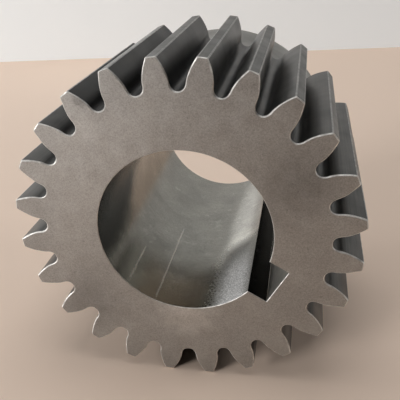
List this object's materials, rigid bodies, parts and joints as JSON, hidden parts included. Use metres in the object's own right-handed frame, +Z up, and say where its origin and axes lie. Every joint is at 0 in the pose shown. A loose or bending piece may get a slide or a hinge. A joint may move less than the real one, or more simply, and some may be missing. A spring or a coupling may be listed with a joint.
{
  "type": "spur gear",
  "caption": "Steel spur gear with straight involute teeth, a long plain hub at the rear and a through bore with one keyway.",
  "frame": {"origin": "on the gear's axis, halfway along the overall length", "axes": "+Y along the gear's axis, from the toothed front face towards the hub; +Z up; the gear rests on two neighbouring teeth"},
  "size_m": [0.1314, 0.1196, 0.1314],
  "materials": {
    "face_steel": "fine ground, matte, with soft stains",
    "tooth_steel": "cut teeth, satin, with an oil film",
    "hub_steel": "turned, satin"
  },
  "bodies": {
    "root": {"gear_body": "face_steel", "rear_hub": "hub_steel", "tooth_01": "tooth_steel", "tooth_02": "tooth_steel", "tooth_03": "tooth_steel", "tooth_04": "tooth_steel", "tooth_05": "tooth_steel", "tooth_06": "tooth_steel", "tooth_07": "tooth_steel", "tooth_08": "tooth_steel", "tooth_09": "tooth_steel", "tooth_10": "tooth_steel", "tooth_11": "tooth_steel", "tooth_12": "tooth_steel", "tooth_13": "tooth_steel", "tooth_14": "tooth_steel", "tooth_15": "tooth_steel", "tooth_16": "tooth_steel", "tooth_17": "tooth_steel", "tooth_18": "tooth_steel", "tooth_19": "tooth_steel", "tooth_20": "tooth_steel", "tooth_21": "tooth_steel", "tooth_22": "tooth_steel", "tooth_23": "tooth_steel", "tooth_24": "tooth_steel"}
  },
  "joints": []
}
